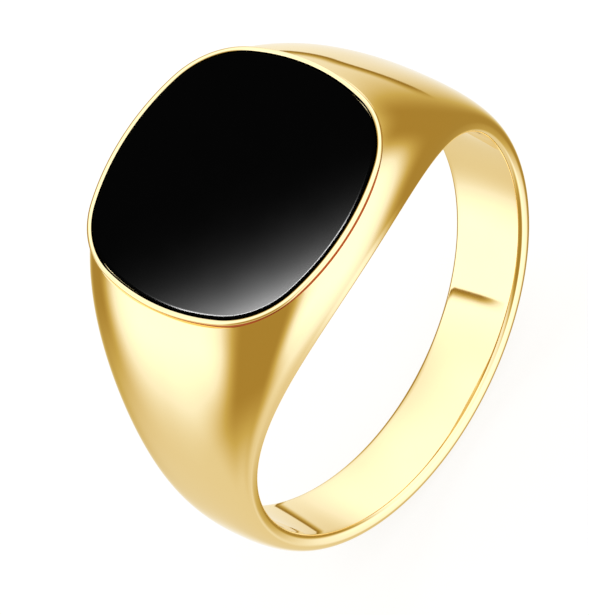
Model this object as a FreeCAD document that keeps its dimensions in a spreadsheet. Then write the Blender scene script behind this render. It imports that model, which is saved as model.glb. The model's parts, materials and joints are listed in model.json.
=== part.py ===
import FreeCAD, Part

import math
import os

import Sketcher

from FreeCAD import Placement, Rotation, Vector

# A signet ring: a cast body with a round finger hole, a bezel collar on its
# flat head, a black inlay inside the collar and the bond under the inlay.
# The origin is the centre of the finger hole. Y runs along the finger, +Z goes
# from the hole through the middle of the head, and X runs across the finger.

SIZES = {
    # finger hole, and the rounding of its two rims
    "bore_radius": 9.5,
    "bore_edge_round": 0.35,
    # half width of the band at the finger hole, at the back and at the head;
    # part of the widening is spread all round and the rest keeps to the head
    "back_half_width": 1.7,
    "head_half_width": 6.45,
    "spread_share": 0.2,
    "width_power": 3.8,
    # flat land at the rim of the finger hole, where the rounded outline starts
    "edge_land": 0.45,
    # height of the crest over the finger hole, at the back and at the head,
    # before the head is trimmed flat
    "back_crest": 1.15,
    "head_crest": 5.55,
    "crest_power": 7.0,
    # exponent of the section's rounded outline: 2 is an ellipse
    "squareness": 2.4,
    # how much the cheeks widen from the finger hole up to the collar
    "cheek_flare": 0.065,
    # height of the flat head over the origin, and the collar that stands on it
    "plate_height": 11.8,
    "collar_height": 0.36,
    "collar_wall": 0.28,
    "collar_round": 0.12,
    # cushion outline inside the collar: four flat side arcs, four corner arcs
    "half_length": 6.12,
    "half_width": 6.18,
    "side_radius": 10.5,
    "corner_radius": 3.8,
    # inlay, the gap round it and the bond under it
    "inlay_thickness": 0.28,
    "inlay_edge_round": 0.1,
    "inlay_gap": 0.02,
    "bond_thickness": 0.05,
}
SECTION_COUNT = 24
ARCH_POINTS = 15
HIDDEN_DEPTH = 1.0
TOOL_SIZE = 60.0
START, END, CENTRE = 1, 2, 3
ORIGIN, ORIGIN_POINT = -1, 1
X_AXIS, Y_AXIS = -1, -2


def make_sheet(doc):
    """The driving dimensions, in millimetres, one named cell each."""
    sheet = doc.addObject("Spreadsheet::Sheet", "Sizes")
    for row, (alias, value) in enumerate(SIZES.items(), start=1):
        sheet.set(f"A{row}", alias)
        sheet.set(f"B{row}", str(value))
        sheet.setAlias(f"B{row}", alias)
    doc.recompute()
    return sheet


def nearness_to_head(angle):
    """1 at the middle of the head, 0 at the back of the band."""
    return (1 + math.cos(angle)) / 2


def blend(back, head, share):
    return back + (head - back) * share


def half_width(sheet, angle):
    near = nearness_to_head(angle)
    share = blend(near**sheet.width_power, near, sheet.spread_share)
    return blend(sheet.back_half_width, sheet.head_half_width, share)


def crest(sheet, angle):
    share = nearness_to_head(angle) ** sheet.crest_power
    return blend(sheet.back_crest, sheet.head_crest, share)


def arch_points(sheet, angle):
    """The rounded outline of the section at this angle, as (sideways, over the hole)."""
    width = half_width(sheet, angle)
    height = crest(sheet, angle) - sheet.edge_land
    power = 2 / sheet.squareness
    flare = sheet.cheek_flare * nearness_to_head(angle) ** sheet.crest_power
    points = []
    for step in range(ARCH_POINTS):
        turn = math.pi * step / (ARCH_POINTS - 1)
        up = math.sin(turn) ** power
        across = math.copysign(abs(math.cos(turn)) ** power, math.cos(turn))
        points.append((width * (1 + flare * up) * across, sheet.edge_land + height * up))
    return points


def section_wire(sheet, angle):
    """One section of the band: the rounded outline on a foot with straight sides.
    The foot reaches into the finger hole, which is cut out later."""
    outward = Vector(math.sin(angle), 0, math.cos(angle))
    sideways = Vector(0, 1, 0)

    def place(across, over_hole):
        return sideways * across + outward * (sheet.bore_radius + over_hole)

    arch = [place(*point) for point in arch_points(sheet, angle)]
    width = half_width(sheet, angle)
    corners = [arch[-1], place(-width, -HIDDEN_DEPTH), place(width, -HIDDEN_DEPTH), arch[0]]
    crown = Part.BSplineCurve()
    crown.interpolate(arch)
    lines = [Part.LineSegment(a, b) for a, b in zip(corners, corners[1:])]
    return Part.Wire([crown.toShape()] + [line.toShape() for line in lines])


def make_casting(doc, sheet):
    """The body before it is trimmed: sections lofted once round the finger."""
    angles = [math.pi + 2 * math.pi * step / SECTION_COUNT for step in range(SECTION_COUNT)]
    casting = doc.addObject("Part::Feature", "Casting")
    casting.Shape = Part.makeLoft([section_wire(sheet, a) for a in angles], True, False, True)
    casting.Placement = Placement()
    return casting


def make_finger_hole(doc):
    hole = doc.addObject("Part::Cylinder", "FingerHole")
    hole.setExpression("Radius", "Sizes.bore_radius")
    hole.Height = TOOL_SIZE
    hole.Placement = Placement(Vector(0, TOOL_SIZE / 2, 0), Rotation(Vector(1, 0, 0), 90))
    return hole


def make_head_trim(doc):
    """The block that is cut away to leave the head flat under the collar."""
    trim = doc.addObject("Part::Box", "HeadTrim")
    trim.Length = TOOL_SIZE
    trim.Width = TOOL_SIZE
    trim.Height = TOOL_SIZE
    trim.Placement = Placement(Vector(-TOOL_SIZE / 2, -TOOL_SIZE / 2, 0), Rotation())
    trim.setExpression("Placement.Base.z", "Sizes.plate_height")
    return trim


def cut(doc, base, tool, name):
    result = doc.addObject("Part::Cut", name)
    result.Base = base
    result.Tool = tool
    doc.recompute()
    return result


def hole_rims(shape, radius):
    """Numbers of the edges where the finger hole meets the sides of the band."""
    rims = []
    for number, edge in enumerate(shape.Edges, start=1):
        points = edge.discretize(5)
        on_hole = all(abs(math.hypot(p.x, p.z) - radius) < 0.01 for p in points)
        runs_round = edge.BoundBox.DiagonalLength > radius
        if on_hole and runs_round and not is_seam(edge):
            rims.append(number)
    return rims


def is_seam(edge):
    """The hole's own seam runs straight along the finger."""
    return edge.BoundBox.XLength < 0.01 and edge.BoundBox.ZLength < 0.01


def make_ring_body(doc, sheet):
    casting = make_casting(doc, sheet)
    bored = cut(doc, casting, make_finger_hole(doc), "BoredCasting")
    trimmed = cut(doc, bored, make_head_trim(doc), "TrimmedCasting")
    body = doc.addObject("Part::Fillet", "RingBody")
    body.Label = "ring_body"
    body.Base = trimmed
    rounding = float(sheet.bore_edge_round)
    rims = hole_rims(trimmed.Shape, float(sheet.bore_radius))
    body.Edges = [(number, rounding, rounding) for number in rims]
    doc.recompute()
    return body


def corner_centre(side_x, side_y, reach):
    """The point at the same reach from both side-arc centres, (side_x, 0) and
    (0, side_y), on the side of their line that is away from the origin."""
    middle = Vector(side_x / 2, side_y / 2, 0)
    half_gap = math.hypot(side_x, side_y) / 2
    outward = Vector(-side_y, -side_x, 0).normalize()
    return middle + outward * math.sqrt(reach**2 - half_gap**2)


def cushion_arcs(sheet, outset):
    """The eight arcs of the cushion outline, anticlockwise from the +X side.
    Every outset outline has the same arc centres."""
    side_x = sheet.half_width - sheet.side_radius
    side_y = sheet.half_length - sheet.side_radius
    corner = corner_centre(side_x, side_y, sheet.side_radius - sheet.corner_radius)
    low = math.atan2(corner.y, corner.x - side_x)
    high = math.atan2(corner.y - side_y, corner.x)
    centres = [
        Vector(side_x, 0, 0),
        Vector(corner.x, corner.y, 0),
        Vector(0, side_y, 0),
        Vector(-corner.x, corner.y, 0),
        Vector(-side_x, 0, 0),
        Vector(-corner.x, -corner.y, 0),
        Vector(0, -side_y, 0),
        Vector(corner.x, -corner.y, 0),
    ]
    half_turn = [-low, low, high, math.pi - high]
    ends = half_turn + [end + math.pi for end in half_turn] + [2 * math.pi - low]
    radii = [sheet.side_radius + outset, sheet.corner_radius + outset] * 4
    normal = Vector(0, 0, 1)
    return [
        Part.ArcOfCircle(Part.Circle(centre, normal, radius), start, end)
        for centre, radius, start, end in zip(centres, radii, ends, ends[1:])
    ]


def bind(sketch, constraint, expression):
    """Adds a constraint and ties its value to the sheet."""
    index = sketch.addConstraint(constraint)
    sketch.setExpression(f"Constraints[{index}]", expression)


def draw_cushion(sketch, sheet, outset, outset_expression):
    """Draws one cushion outline and constrains it fully."""
    first = sketch.GeometryCount
    arcs = cushion_arcs(sheet, outset)
    sketch.addGeometry(arcs, False)
    numbers = list(range(first, first + len(arcs)))
    for number, following in zip(numbers, numbers[1:] + numbers[:1]):
        sketch.addConstraint(Sketcher.Constraint("Tangent", number, END, following, START))
    for place, number in enumerate(numbers):
        kind = "corner_radius" if place % 2 else "side_radius"
        radius = Sketcher.Constraint("Radius", number, arcs[place].Radius)
        bind(sketch, radius, f"Sizes.{kind} + {outset_expression}")
    right, top, left, bottom = numbers[::2]
    for number, axis in ((right, X_AXIS), (left, X_AXIS), (top, Y_AXIS), (bottom, Y_AXIS)):
        sketch.addConstraint(Sketcher.Constraint("PointOnObject", number, CENTRE, axis))
    across = sheet.side_radius - sheet.half_width
    along = sheet.side_radius - sheet.half_length
    across_expression = "Sizes.side_radius - Sizes.half_width"
    along_expression = "Sizes.side_radius - Sizes.half_length"
    origin = (ORIGIN, ORIGIN_POINT)
    spans = [
        ("DistanceX", (right, CENTRE), origin, across, across_expression),
        ("DistanceX", origin, (left, CENTRE), across, across_expression),
        ("DistanceY", (top, CENTRE), origin, along, along_expression),
        ("DistanceY", origin, (bottom, CENTRE), along, along_expression),
    ]
    for kind, start, end, value, expression in spans:
        bind(sketch, Sketcher.Constraint(kind, *start, *end, value), expression)


def make_cushion_body(doc, sheet, name, outsets, floor, height):
    """A body padded up from the floor height, with one outline per outset."""
    body = doc.addObject("PartDesign::Body", name)
    plane = next(p for p in body.Origin.OriginFeatures if p.Role == "XY_Plane")
    sketch = body.newObject("Sketcher::SketchObject", f"{name}Outline")
    sketch.AttachmentSupport = [(plane, "")]
    sketch.MapMode = "FlatFace"
    sketch.setExpression("AttachmentOffset.Base.z", floor)
    for outset, expression in outsets:
        draw_cushion(sketch, sheet, outset, expression)
    doc.recompute()
    pad = body.newObject("PartDesign::Pad", f"{name}Pad")
    pad.Profile = sketch
    pad.setExpression("Length", height)
    doc.recompute()
    return body


def top_edge_names(shape):
    """Names of the edges that lie wholly in the shape's highest plane."""
    top = shape.BoundBox.ZMax
    return [
        f"Edge{number}"
        for number, edge in enumerate(shape.Edges, start=1)
        if edge.BoundBox.ZMin > top - 0.01
    ]


def round_top(doc, body, alias):
    """Rounds every top edge of the body by the sheet's value of that name."""
    pad = body.Tip
    rounding = body.newObject("PartDesign::Fillet", f"{body.Name}Rounding")
    rounding.Base = (pad, top_edge_names(pad.Shape))
    rounding.setExpression("Radius", f"Sizes.{alias}")
    doc.recompute()


def make_bezel_collar(doc, sheet):
    """The narrow polished wall that stands on the head round the inlay."""
    outsets = [(sheet.collar_wall, "Sizes.collar_wall"), (0, "0")]
    collar = make_cushion_body(
        doc, sheet, "BezelCollar", outsets, "Sizes.plate_height", "Sizes.collar_height"
    )
    round_top(doc, collar, "collar_round")
    collar.Label = "bezel_collar"
    return collar


def make_inlay(doc, sheet):
    """The thin black slab, level with the collar, with a softly rounded edge."""
    inlay = make_cushion_body(
        doc,
        sheet,
        "BlackInlay",
        [(-sheet.inlay_gap, "-Sizes.inlay_gap")],
        "Sizes.plate_height + Sizes.bond_thickness",
        "Sizes.inlay_thickness",
    )
    round_top(doc, inlay, "inlay_edge_round")
    inlay.Label = "black_inlay"
    return inlay


def make_bond(doc, sheet):
    """The thin layer of adhesive between the head and the inlay."""
    bond = make_cushion_body(
        doc,
        sheet,
        "InlayBond",
        [(-sheet.inlay_gap, "-Sizes.inlay_gap")],
        "Sizes.plate_height",
        "Sizes.bond_thickness",
    )
    bond.Label = "inlay_bond"
    return bond


def check(doc, parts):
    for item in doc.Objects:
        failed = [state for state in item.State if state in ("Invalid", "Error")]
        if failed:
            raise RuntimeError(f"{item.Name} is {failed}")
    for item in parts:
        if item.Shape.isNull() or not item.Shape.isValid():
            raise RuntimeError(f"{item.Label} has no valid shape")
        print(item.Label, len(item.Shape.Solids), "solid,", round(item.Shape.Volume, 2), "mm3")


def main():
    doc = FreeCAD.newDocument("SignetRing")
    sheet = make_sheet(doc)
    parts = [
        make_ring_body(doc, sheet),
        make_bezel_collar(doc, sheet),
        make_bond(doc, sheet),
        make_inlay(doc, sheet),
    ]
    doc.recompute()
    check(doc, parts)
    os.makedirs("parts", exist_ok=True)
    for item in parts:
        item.Shape.exportStep(f"parts/{item.Label}.step")


main()
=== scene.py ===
import json
import math

import bmesh
import bpy
import numpy as np
from mathutils import Matrix, Vector


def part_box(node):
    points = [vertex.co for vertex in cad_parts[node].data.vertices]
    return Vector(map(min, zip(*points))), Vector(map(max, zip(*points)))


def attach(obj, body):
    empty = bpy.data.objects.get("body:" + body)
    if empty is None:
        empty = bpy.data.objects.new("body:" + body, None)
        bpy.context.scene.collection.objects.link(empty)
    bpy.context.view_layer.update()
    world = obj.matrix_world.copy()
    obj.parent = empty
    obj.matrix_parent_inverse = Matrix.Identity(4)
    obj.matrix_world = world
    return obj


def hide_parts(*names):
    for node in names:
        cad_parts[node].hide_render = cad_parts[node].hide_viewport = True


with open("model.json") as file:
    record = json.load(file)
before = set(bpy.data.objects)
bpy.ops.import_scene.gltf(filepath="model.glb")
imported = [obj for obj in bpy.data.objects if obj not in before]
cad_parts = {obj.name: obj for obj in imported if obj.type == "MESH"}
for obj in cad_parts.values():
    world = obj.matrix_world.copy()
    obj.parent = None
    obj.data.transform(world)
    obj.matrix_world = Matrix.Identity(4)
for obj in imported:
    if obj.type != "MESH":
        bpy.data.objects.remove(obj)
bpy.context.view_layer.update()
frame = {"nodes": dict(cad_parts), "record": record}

MM = 0.001

# ---------------------------------------------------------------- sizes, in millimetres
BORE = next(m for m in frame["record"]["mounts"] if m["name"] == "finger_hole")
BORE_RADIUS = BORE["dims"]["r_mm"]
BORE_EDGE = 0.22
BORE_CROWN = 0.06
EDGE_LAND = 0.45
BACK_HALF_WIDTH = 1.7
HEAD_HALF_WIDTH = 6.45
SPREAD_SHARE = 0.2
WIDTH_POWER = 3.8
BACK_CREST = 1.15
HEAD_CREST = 5.55
CREST_POWER = 7.0
SQUARENESS = 2.4
CHEEK_FLARE = 0.065


def node_box(name):
    """A CAD node's lowest and highest corners, in millimetres."""
    low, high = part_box(name)
    return np.array(low) / MM, np.array(high) / MM


INLAY_LOW, INLAY_HIGH = node_box("black_inlay")
COLLAR_LOW, COLLAR_HIGH = node_box("bezel_collar")
BODY_LOW, BODY_HIGH = node_box("ring_body")
INLAY_GAP = 0.02
HALF_WIDTH = INLAY_HIGH[0] + INLAY_GAP
HALF_LENGTH = INLAY_HIGH[1] + INLAY_GAP
COLLAR_WALL = COLLAR_HIGH[0] - HALF_WIDTH
PLATE = COLLAR_LOW[2]
COLLAR_TOP = COLLAR_HIGH[2]
SIDE_RADIUS = 10.5
CORNER_RADIUS = 3.8
INLAY_EDGE_ROUND = 0.05
INLAY_DOME = 0.02

# ---------------------------------------------------------------- how fine the meshes are
RING_STEPS = 600
ARCH_STEPS, BORE_STEPS, EDGE_STEPS = 112, 20, 9
OUTLINE_SAMPLES = 4000
SWEEP_COUNT = 480
CROWN_STEPS = 28
INLAY_EDGE_STEPS, INLAY_TOP_STEPS = 10, 60
BODY_SHARP, SMALL_PIECE_SHARP = 40, 50


# ---------------------------------------------------------------- shapes
def nearness(angle):
    """1 at the middle of the head, 0 at the back of the band."""
    return (1 + np.cos(angle)) / 2


def blend(back, head, share):
    return back + (head - back) * share


def half_width(angle):
    near = nearness(angle)
    return blend(BACK_HALF_WIDTH, HEAD_HALF_WIDTH, blend(near**WIDTH_POWER, near, SPREAD_SHARE))


def crest(angle):
    return blend(BACK_CREST, HEAD_CREST, nearness(angle) ** CREST_POWER)


def even_steps(across, out, count):
    """The same outline with its points evenly spaced."""
    run = np.hypot(np.diff(across), np.diff(out))
    place = np.concatenate([[0], np.cumsum(run)])
    even = np.linspace(0, place[-1], count)
    return np.interp(even, place, across), np.interp(even, place, out)


def section(angle):
    """The closed section at this angle, as distances across and over the hole.
    The hole is a little crowned across, and its rims are rounded over."""
    width = half_width(angle)
    turn = np.linspace(0, np.pi, OUTLINE_SAMPLES)
    power = 2 / SQUARENESS
    up = np.sin(turn) ** power
    flare = 1 + CHEEK_FLARE * nearness(angle) ** CREST_POWER * up
    across = width * flare * np.sign(np.cos(turn)) * np.abs(np.cos(turn)) ** power
    out = EDGE_LAND + (crest(angle) - EDGE_LAND) * up
    arch = even_steps(across, out, ARCH_STEPS)
    flat = width - BORE_EDGE
    tilt = math.atan(2 * BORE_CROWN / flat)
    bend = np.linspace(tilt, np.pi / 2, EDGE_STEPS)
    near_edge = flat + BORE_EDGE * np.sin(bend), BORE_CROWN + BORE_EDGE * (1 - np.cos(bend))
    far_edge = -near_edge[0][::-1], near_edge[1][::-1]
    bore = np.linspace(-flat, flat, BORE_STEPS)[1:-1]
    across = np.concatenate([near_edge[0], arch[0], far_edge[0], bore])
    out = np.concatenate([near_edge[1], arch[1], far_edge[1], BORE_CROWN * (bore / flat) ** 2])
    return across, BORE_RADIUS + out


def grid_faces(rows, columns):
    """Quads of a grid that closes on itself both ways."""
    i, j = np.meshgrid(np.arange(rows), np.arange(columns), indexing="ij")
    ni, nj = (i + 1) % rows, (j + 1) % columns
    quads = np.stack([i * columns + j, i * columns + nj, ni * columns + nj, ni * columns + j], -1)
    return quads.reshape(-1, 4).tolist()


def mesh_object(name, points, faces):
    mesh = bpy.data.meshes.new(name)
    mesh.from_pydata((points * MM).tolist(), [], faces)
    piece = bpy.data.objects.new(name, mesh)
    bpy.context.scene.collection.objects.link(piece)
    return piece


def finish_mesh(piece, sharp_degrees):
    """Points the faces outwards and shades them smooth except across sharp edges."""
    mesh = piece.data
    work = bmesh.new()
    work.from_mesh(mesh)
    bmesh.ops.recalc_face_normals(work, faces=work.faces)
    work.to_mesh(mesh)
    work.free()
    mesh.shade_smooth()
    mesh.set_sharp_from_angle(angle=math.radians(sharp_degrees))


def make_ring_body():
    angles = np.linspace(-np.pi, np.pi, RING_STEPS, endpoint=False)
    rows = []
    for angle in angles:
        across, out = section(angle)
        rows.append(np.stack([out * np.sin(angle), across, out * np.cos(angle)], -1))
    points = np.array(rows)
    piece = mesh_object("ring_body_polished", points.reshape(-1, 3), grid_faces(*points.shape[:2]))
    work = bmesh.new()
    work.from_mesh(piece.data)
    everything = list(work.verts) + list(work.edges) + list(work.faces)
    cut = bmesh.ops.bisect_plane(
        work, geom=everything, plane_co=(0, 0, PLATE * MM), plane_no=(0, 0, 1), clear_outer=True
    )
    rim = [item for item in cut["geom_cut"] if isinstance(item, bmesh.types.BMEdge)]
    bmesh.ops.contextual_create(work, geom=rim)
    work.to_mesh(piece.data)
    work.free()
    finish_mesh(piece, BODY_SHARP)
    return piece


def cushion(outset, count):
    """Points and outward directions of the cushion outline, evenly turned."""
    side_x, side_y = HALF_WIDTH - SIDE_RADIUS, HALF_LENGTH - SIDE_RADIUS
    reach = SIDE_RADIUS - CORNER_RADIUS
    half_gap = math.hypot(side_x, side_y) / 2
    outward = np.array([-side_y, -side_x]) / (2 * half_gap)
    corner = np.array([side_x, side_y]) / 2 + outward * math.sqrt(reach**2 - half_gap**2)
    low = math.atan2(corner[1], corner[0] - side_x)
    high = math.atan2(corner[1] - side_y, corner[0])
    # quarter outline: the right side, the corner and the top, with even steps along it
    stops = [(0, low, (side_x, 0), SIDE_RADIUS), (low, high, corner, CORNER_RADIUS)]
    stops.append((high, math.pi / 2, (0, side_y), SIDE_RADIUS))
    lengths = [(end - start) * radius for start, end, _, radius in stops]
    steps = np.linspace(0, sum(lengths), count // 4, endpoint=False)
    quarter = []
    for step in steps:
        for (start, _, centre, radius), length in zip(stops, lengths):
            if step <= length:
                break
            step -= length
        turn = start + step / radius
        away = np.array([math.cos(turn), math.sin(turn)])
        quarter.append((*(np.array(centre) + away * (radius + outset)), *away))
    quarter = np.array(quarter)
    top = np.array([0, HALF_LENGTH + outset, 0, 1])
    mirrored = np.vstack([top, quarter[:0:-1]]) * [-1, 1, -1, 1]
    half = np.vstack([quarter, mirrored])
    return np.vstack([half, half * [-1, -1, -1, -1]])


def sweep(name, profile):
    """Sweeps a closed profile of (outset, height) points round the cushion outline."""
    base = cushion(0, SWEEP_COUNT)
    rows = [np.column_stack([base[:, :2] + base[:, 2:] * o, np.full(len(base), z)]) for o, z in profile]
    points = np.array(rows)
    return mesh_object(name, points.reshape(-1, 3), grid_faces(*points.shape[:2]))


def make_collar():
    """A polished bead on a neck that is narrower on the outside, where the joint is. The neck and the
    bead's underside carry a dark red painted shade, standing for the groove's shadow and dark
    reflections.
    """
    radius = 0.42 * COLLAR_WALL
    neck = 0.3 * COLLAR_WALL
    bead_low = COLLAR_TOP - 2 * radius
    turn = np.linspace(-np.pi / 2, np.pi, CROWN_STEPS)
    middle = COLLAR_WALL - radius
    crown = [(middle + radius * math.cos(a), COLLAR_TOP - radius + radius * math.sin(a)) for a in turn]
    inner = [(0, COLLAR_TOP - 1.4 * radius), (0, PLATE)]
    profile = [(COLLAR_WALL - neck, PLATE), (COLLAR_WALL - neck, bead_low)] + crown + inner
    piece = sweep("bezel_bead", profile)
    # These faces, the neck and the bead's underside, take the dark red painted shade of the groove.
    painted_shade_faces = [face.index for face in piece.data.polygons if face.index // SWEEP_COUNT < 2]
    finish_mesh(piece, SMALL_PIECE_SHARP)
    for index in painted_shade_faces:
        piece.data.polygons[index].material_index = 1
    return piece


def make_inlay():
    """The slab: a shallow dome that turns down at its edge."""
    edge_round, dome, count = INLAY_EDGE_ROUND, INLAY_DOME, SWEEP_COUNT
    outline = cushion(-INLAY_GAP, count)
    rings = []
    depth = INLAY_LOW[2]
    edge_z = INLAY_HIGH[2] - dome - edge_round
    rings.append(np.column_stack([outline[:, :2], np.full(count, depth)]))
    for turn in np.linspace(0, np.pi / 2, INLAY_EDGE_STEPS):
        inset = edge_round * (1 - math.cos(turn))
        flat = outline[:, :2] - outline[:, 2:] * inset
        rings.append(np.column_stack([flat, np.full(count, edge_z + edge_round * math.sin(turn))]))
    last = rings[-1][:, :2]
    top = rings[-1][0, 2]
    for share in np.linspace(0, 1, INLAY_TOP_STEPS)[1:-1]:
        shrunk = last * (1 - share)
        rings.append(np.column_stack([shrunk, np.full(count, top + dome * (1 - (1 - share) ** 2))]))
    points = np.vstack(rings + [np.array([[0, 0, top + dome]])])
    faces = []
    for row in range(len(rings) - 1):
        for j in range(count):
            k = (j + 1) % count
            a, b = row * count, (row + 1) * count
            faces.append((a + j, a + k, b + k, b + j))
    tip = len(points) - 1
    last_row = (len(rings) - 1) * count
    faces += [(last_row + j, last_row + (j + 1) % count, tip) for j in range(count)]
    faces.append(tuple(range(count - 1, -1, -1)))
    piece = mesh_object("inlay_gloss", points, faces)
    finish_mesh(piece, SMALL_PIECE_SHARP)
    return piece


# ---------------------------------------------------------------- materials
def material(name):
    made = bpy.data.materials.new(name)
    made.use_nodes = True
    nodes, links = made.node_tree.nodes, made.node_tree.links
    return made, nodes, links, nodes["Principled BSDF"]


def noise(nodes, links, scale, detail=3.0):
    coordinates = nodes.new("ShaderNodeTexCoord")
    pattern = nodes.new("ShaderNodeTexNoise")
    pattern.inputs["Scale"].default_value = scale
    pattern.inputs["Detail"].default_value = detail
    links.new(coordinates.outputs["Object"], pattern.inputs["Vector"])
    return pattern.outputs["Fac"]


def map_range(nodes, links, value, low, high):
    ranged = nodes.new("ShaderNodeMapRange")
    ranged.inputs["To Min"].default_value = low
    ranged.inputs["To Max"].default_value = high
    links.new(value, ranged.inputs["Value"])
    return ranged.outputs["Result"]


def gold(name, deep, pale, smooth, rough, bump_strength):
    made, nodes, links, shader = material(name)
    shader.inputs["Metallic"].default_value = 1.0
    tint = nodes.new("ShaderNodeMix")
    tint.data_type = "RGBA"
    tint.inputs["A"].default_value = (*deep, 1)
    tint.inputs["B"].default_value = (*pale, 1)
    links.new(noise(nodes, links, 180.0), tint.inputs["Factor"])
    links.new(tint.outputs["Result"], shader.inputs["Base Color"])
    polish = map_range(nodes, links, noise(nodes, links, 420.0, 5.0), smooth, rough)
    links.new(polish, shader.inputs["Roughness"])
    bump = nodes.new("ShaderNodeBump")
    bump.inputs["Strength"].default_value = bump_strength
    bump.inputs["Distance"].default_value = 0.01 * MM
    links.new(noise(nodes, links, 2500.0, 2.0), bump.inputs["Height"])
    links.new(bump.outputs["Normal"], shader.inputs["Normal"])
    return made


def black_gloss():
    made, nodes, links, shader = material("black_gloss")
    shader.inputs["IOR"].default_value = 1.5
    shader.inputs["Specular IOR Level"].default_value = 0.01
    tint = nodes.new("ShaderNodeMix")
    tint.data_type = "RGBA"
    tint.inputs["A"].default_value = (0.0001, 0.0001, 0.0001, 1)
    tint.inputs["B"].default_value = (0.0003, 0.0003, 0.0003, 1)
    links.new(noise(nodes, links, 300.0), tint.inputs["Factor"])
    links.new(tint.outputs["Result"], shader.inputs["Base Color"])
    polish = map_range(nodes, links, noise(nodes, links, 500.0, 4.0), 0.03, 0.06)
    links.new(polish, shader.inputs["Roughness"])
    return made


def adhesive():
    """Cured clear-amber resin, hidden under the inlay."""
    made, nodes, links, shader = material("bond_adhesive")
    tint = nodes.new("ShaderNodeMix")
    tint.data_type = "RGBA"
    tint.inputs["A"].default_value = (0.35, 0.26, 0.12, 1)
    tint.inputs["B"].default_value = (0.48, 0.38, 0.22, 1)
    links.new(noise(nodes, links, 400.0), tint.inputs["Factor"])
    links.new(tint.outputs["Result"], shader.inputs["Base Color"])
    links.new(map_range(nodes, links, noise(nodes, links, 700.0), 0.2, 0.4), shader.inputs["Roughness"])
    return made


# ---------------------------------------------------------------- stage
# The ring leans back by this much about the finger's axis, and the camera stands at
# this height over the level ground, turned away from the finger's axis.
LEAN = math.radians(36.6)
VIEW_TURN = math.radians(48.7)
VIEW_ELEVATION = math.radians(31.0)
VIEW_DISTANCE = 750.0
LENS = 1010.0
VIEW_CENTRE = (2.155, 0.269)
GROUND_UP = Vector((math.sin(LEAN), 0, math.cos(LEAN)))
GROUND_ASIDE = Vector((math.cos(LEAN), 0, -math.sin(LEAN)))
FINGER = Vector((0, 1, 0))
VIEW_FORWARD = FINGER * math.cos(VIEW_TURN) + GROUND_ASIDE * math.sin(VIEW_TURN)
VIEW_RIGHT = VIEW_FORWARD.cross(GROUND_UP)
VIEW_LOOK = VIEW_FORWARD * math.cos(VIEW_ELEVATION) - GROUND_UP * math.sin(VIEW_ELEVATION)
VIEW_DOWN = VIEW_LOOK.cross(VIEW_RIGHT)


def make_camera():
    data = bpy.data.cameras.new("camera")
    camera = bpy.data.objects.new("camera", data)
    bpy.context.scene.collection.objects.link(camera)
    across, down = VIEW_CENTRE
    place = (VIEW_LOOK * -VIEW_DISTANCE - VIEW_RIGHT * across - VIEW_DOWN * down) * MM
    turn = Matrix((VIEW_RIGHT, -VIEW_DOWN, -VIEW_LOOK)).transposed()
    camera.matrix_world = Matrix.Translation(place) @ turn.to_4x4()
    data.sensor_width = 36.0
    data.lens = LENS
    data.clip_start, data.clip_end = 0.01, 100
    bpy.context.scene.camera = camera


# The studio is a white room, the same on the left and the right: a soft box overhead, a
# table, a dark end behind the camera, and on each side a black card and a soft box. The
# far edge of the table is a thin dark line on the left. They are painted one over the
# other. Angles are in degrees; zero is straight ahead of the camera, right is positive.
ROOM = 1.0
ALL_ROUND = (0, 180, 1)
OVERHEAD, TABLE, CAMERA_END, CARD, SIDE_BOX, TABLE_EDGE = 1.3, 0.8, 0.4, 0.4, 1.4, 0.3
CARD_TURN, SIDE_BOX_TURN = 50, 105


def studio_panels():
    """Each panel's middle, half width and softness round the horizon, its lower and
    upper edges with their softness, and its brightness."""
    panels = [(ALL_ROUND, (40, 30), (90, 1), OVERHEAD), (ALL_ROUND, (-90, 1), (-60, 20), TABLE)]
    panels.append(((180, 30, 60), (-50, 30), (-20, 30), CAMERA_END))
    for side in (-1, 1):
        panels.append(((side * CARD_TURN, 10, 45), (-30, 30), (20, 40), CARD))
    for side in (-1, 1):
        panels.append(((side * SIDE_BOX_TURN, 10, 40), (-30, 30), (0, 40), SIDE_BOX))
    panels.append(((-45, 60, 10), (0, 1), (0, 6), TABLE_EDGE))
    return panels


# The darker the room is in a direction, the warmer it is, for deep gold shadows.
# The colours are chosen.
WARMTH = ((0.25, (1.0, 0.55, 0.05)), (0.6, (1.0, 0.75, 0.25)), (1.0, (1.0, 1.0, 1.0)))


class Nodes:
    """Short calls that add nodes to one tree."""

    def __init__(self, tree):
        self.nodes, self.links = tree.nodes, tree.links

    def put(self, value, socket):
        if isinstance(value, bpy.types.NodeSocket):
            self.links.new(value, socket)
        else:
            socket.default_value = value

    def maths(self, operation, *values):
        node = self.nodes.new("ShaderNodeMath")
        node.operation = operation
        for value, socket in zip(values, node.inputs):
            self.put(value, socket)
        return node.outputs[0]

    def along(self, direction, vector):
        node = self.nodes.new("ShaderNodeVectorMath")
        node.operation = "DOT_PRODUCT"
        self.put(direction, node.inputs[0])
        node.inputs[1].default_value = vector
        return node.outputs["Value"]

    def fade(self, value, start, end):
        """0 at start and beyond it, 1 at end, smooth between."""
        node = self.nodes.new("ShaderNodeMapRange")
        node.interpolation_type = "SMOOTHSTEP"
        node.inputs["From Min"].default_value = start
        node.inputs["From Max"].default_value = end
        self.put(value, node.inputs["Value"])
        return node.outputs["Result"]

    def mix(self, share, first, second):
        node = self.nodes.new("ShaderNodeMix")
        self.put(share, node.inputs["Factor"])
        self.put(first, node.inputs["A"])
        self.put(second, node.inputs["B"])
        return node.outputs["Result"]


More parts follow.
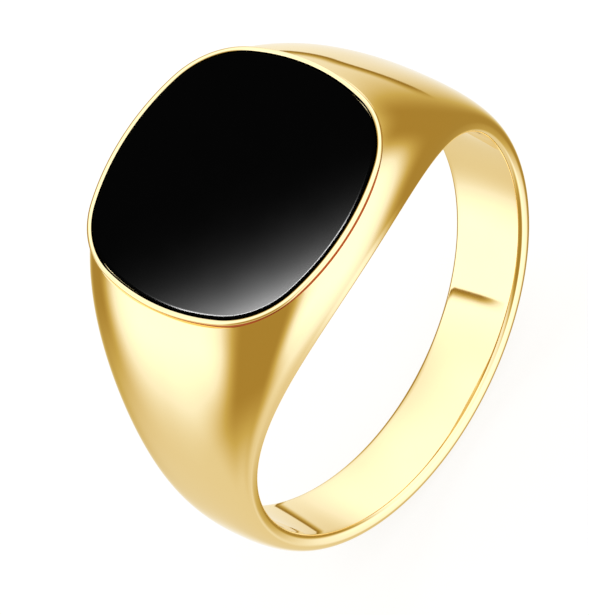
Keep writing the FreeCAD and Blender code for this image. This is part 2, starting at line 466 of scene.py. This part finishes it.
def make_world():
    world = bpy.data.worlds.new("world")
    bpy.context.scene.world = world
    world.use_nodes = True
    tree = Nodes(world.node_tree)
    background = tree.nodes["Background"]
    direction = tree.nodes.new("ShaderNodeTexCoord").outputs["Generated"]
    up = tree.along(direction, GROUND_UP)
    right = tree.along(direction, VIEW_RIGHT)
    ahead = tree.along(direction, VIEW_FORWARD)
    azimuth = tree.maths("DEGREES", tree.maths("ARCTAN2", right, ahead))
    elevation = tree.maths("DEGREES", tree.maths("ARCSINE", up))
    light = ROOM
    for around, bottom, top, brightness in studio_panels():
        middle, half, side_soft = around
        low, low_soft = bottom
        high, high_soft = top
        turned = tree.maths("WRAP", tree.maths("SUBTRACT", azimuth, middle), 180, -180)
        inside = tree.fade(tree.maths("ABSOLUTE", turned), half + side_soft, half)
        above = tree.fade(elevation, low - low_soft, low)
        below = tree.fade(elevation, high + high_soft, high)
        share = tree.maths("MULTIPLY", inside, tree.maths("MULTIPLY", above, below))
        light = tree.mix(share, light, brightness)
    ramp = tree.nodes.new("ShaderNodeValToRGB")
    tree.put(light, ramp.inputs["Fac"])
    stops = ramp.color_ramp.elements
    for stop, (place, colour) in zip((stops[0], stops[1]), (WARMTH[0], WARMTH[-1])):
        stop.position, stop.color = place, (*colour, 1)
    for place, colour in WARMTH[1:-1]:
        stops.new(place).color = (*colour, 1)
    seen = tree.nodes.new("ShaderNodeLightPath").outputs["Is Camera Ray"]
    colour = tree.nodes.new("ShaderNodeMix")
    colour.data_type = "RGBA"
    tree.put(seen, colour.inputs["Factor"])
    tree.put(ramp.outputs["Color"], colour.inputs["A"])
    colour.inputs["B"].default_value = (1, 1, 1, 1)
    tree.put(colour.outputs["Result"], background.inputs["Color"])
    tree.put(tree.mix(seen, light, 1.0), background.inputs["Strength"])


INLAY_CARD_SIDE = 16.0
INLAY_CARD_DISTANCE = 80.0
INLAY_CARD_POWER = 1.5
INLAY_CARD_TURN = math.radians(22)
INLAY_CARD_FADE = 14.0


def make_inlay_card(inlay):
    """A soft card that lights the inlay alone, and no other piece. It stands where the
    inlay mirrors this camera, so it shows from this angle and hardly from others."""
    data = bpy.data.lights.new("inlay_card", "AREA")
    card = bpy.data.objects.new("inlay_card", data)
    bpy.context.scene.collection.objects.link(card)
    flip = Vector((1, 1, -1))
    away, right, down = VIEW_LOOK * flip, VIEW_RIGHT * flip, VIEW_DOWN * flip
    lower = down * math.cos(INLAY_CARD_TURN) + right * math.sin(INLAY_CARD_TURN)
    middle = Vector((0, 0, INLAY_HIGH[2])) + away * INLAY_CARD_DISTANCE
    side = lower.cross(away)
    turn = Matrix((side, lower, away)).transposed()
    card.matrix_world = Matrix.Translation(middle * MM) @ turn.to_4x4()
    data.size = INLAY_CARD_SIDE * MM
    data.energy = INLAY_CARD_POWER
    data.use_nodes = True
    tree = Nodes(data.node_tree)
    place = tree.nodes.new("ShaderNodeSeparateXYZ")
    tree.put(tree.nodes.new("ShaderNodeNewGeometry").outputs["Parametric"], place.inputs[0])
    glow = tree.maths("POWER", place.outputs["Y"], INLAY_CARD_FADE)
    tree.put(glow, tree.nodes["Emission"].inputs["Strength"])
    card.visible_camera = False
    card.visible_diffuse = False
    only = bpy.data.collections.new("inlay_only")
    only.objects.link(inlay)
    card.light_linking.receiver_collection = only


FLOOR_HALF_SIDE = 4.0
FLOOR_GREY = 0.2
FLOOR_GLOW = 0.82


def make_floor():
    """A wide white floor that the ring stands on. It glows, so that it stays pale, and
    the polished gold doesn't mirror it: the gold mirrors the room's own table."""
    side = FLOOR_HALF_SIDE
    mesh = bpy.data.meshes.new("floor")
    low = BODY_LOW[2] * MM
    corners = [(x * side, y * side, low) for x, y in ((-1, -1), (1, -1), (1, 1), (-1, 1))]
    mesh.from_pydata(corners, [], [(0, 1, 2, 3)])
    floor = bpy.data.objects.new("floor", mesh)
    bpy.context.scene.collection.objects.link(floor)
    made, _, _, shader = material("pale_floor")
    shader.inputs["Base Color"].default_value = (FLOOR_GREY, FLOOR_GREY, FLOOR_GREY, 1)
    shader.inputs["Roughness"].default_value = 0.8
    shader.inputs["Specular IOR Level"].default_value = 0.0
    shader.inputs["Emission Color"].default_value = (1, 1, 1, 1)
    shader.inputs["Emission Strength"].default_value = FLOOR_GLOW
    mesh.materials.append(made)
    floor.visible_glossy = False


def main():
    pale, deep = (1.0, 0.87, 0.53), (1.0, 0.83, 0.47)
    body_gold = gold("polished_gold", deep, pale, 0.03, 0.07, 0.02)
    collar_gold = gold("collar_gold", deep, pale, 0.02, 0.05, 0.02)
    # Dark red painted shade for the groove under the collar's bead: it stands for shadow and dark
    # reflections there, not for the metal's colour.
    groove_painted_shade = gold("groove_painted_shade", (0.30, 0.04, 0.01), (0.42, 0.09, 0.02), 0.15, 0.3, 0.05)
    inlay = make_inlay()
    for piece, node, finishes, slot in (
        (make_ring_body(), "ring_body", [body_gold], "polished_gold"),
        (make_collar(), "bezel_collar", [collar_gold, groove_painted_shade], "collar_gold"),
        (inlay, "black_inlay", [black_gloss()], "black_stone"),
    ):
        for finish in finishes:
            piece.data.materials.append(finish)
        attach(piece, "root")
        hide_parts(node)
    bond = frame["nodes"]["inlay_bond"]
    bond.data.materials.clear()
    bond.data.materials.append(adhesive())
    make_camera()
    make_world()
    make_inlay_card(inlay)
    make_floor()
    bpy.context.scene.view_settings.view_transform = "Standard"


main()
